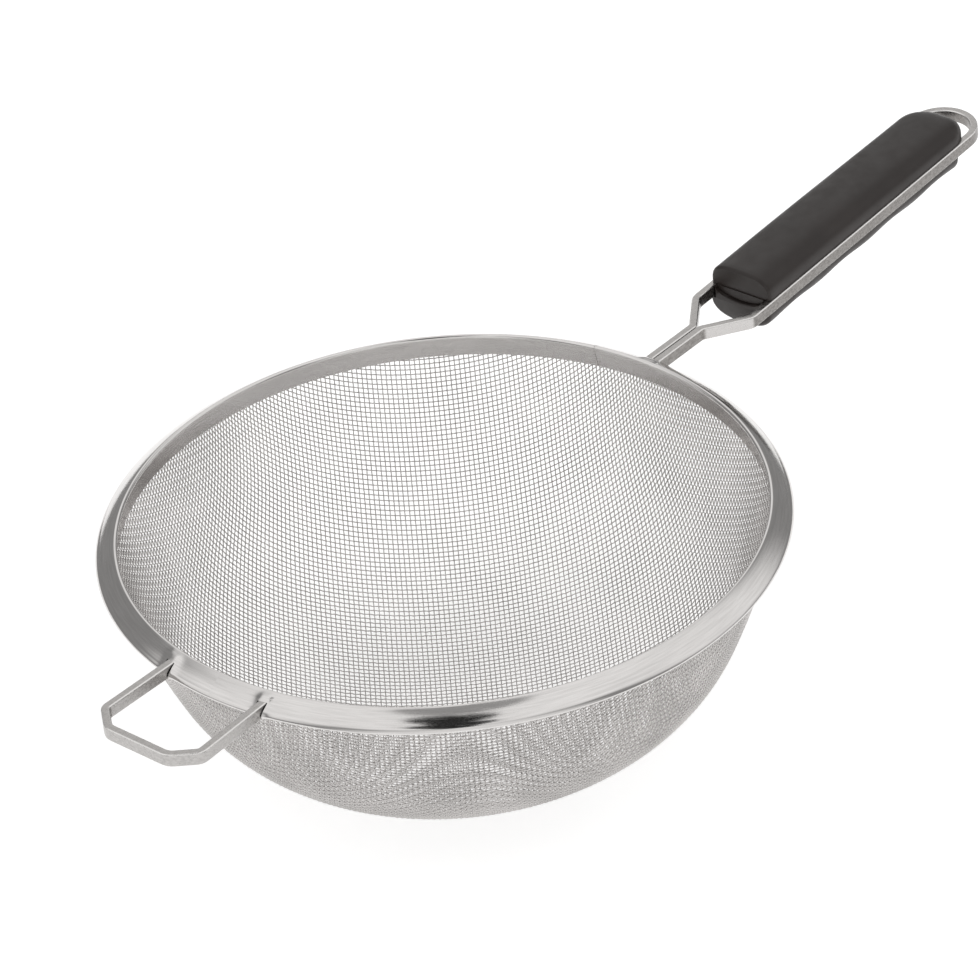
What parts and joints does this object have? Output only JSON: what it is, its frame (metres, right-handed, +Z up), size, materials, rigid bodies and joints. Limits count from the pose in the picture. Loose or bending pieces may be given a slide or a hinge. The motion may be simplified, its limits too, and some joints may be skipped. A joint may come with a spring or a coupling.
{
  "type": "bowl strainer",
  "caption": "Hand-held bowl strainer for sifting flour: woven wire bowl in a rolled steel rim, flat-wire front rest, and flat-wire handle with a two-part moulded grip.",
  "frame": {"origin": "middle of the flat at the bottom of the bowl", "axes": "+Z up along the bowl's axis, +X towards the handle, -X towards the front rest"},
  "size_m": [0.3857, 0.199, 0.0906],
  "materials": {
    "mesh_wire": "bright drawn wire",
    "rim_steel": "polished sheet with fine marks along the rolling direction",
    "hoop_steel": "drawn wire",
    "flat_wire_steel": "satin, rolled edges brighter",
    "grip_plastic": "satin moulded, very dark warm grey"
  },
  "bodies": {
    "root": {"mesh_bowl": "mesh_wire", "rim_band": "rim_steel", "rim_hoop": "hoop_steel", "front_rest": "flat_wire_steel", "handle_frame": "flat_wire_steel", "grip_upper": "grip_plastic", "grip_lower": "grip_plastic"}
  },
  "joints": []
}
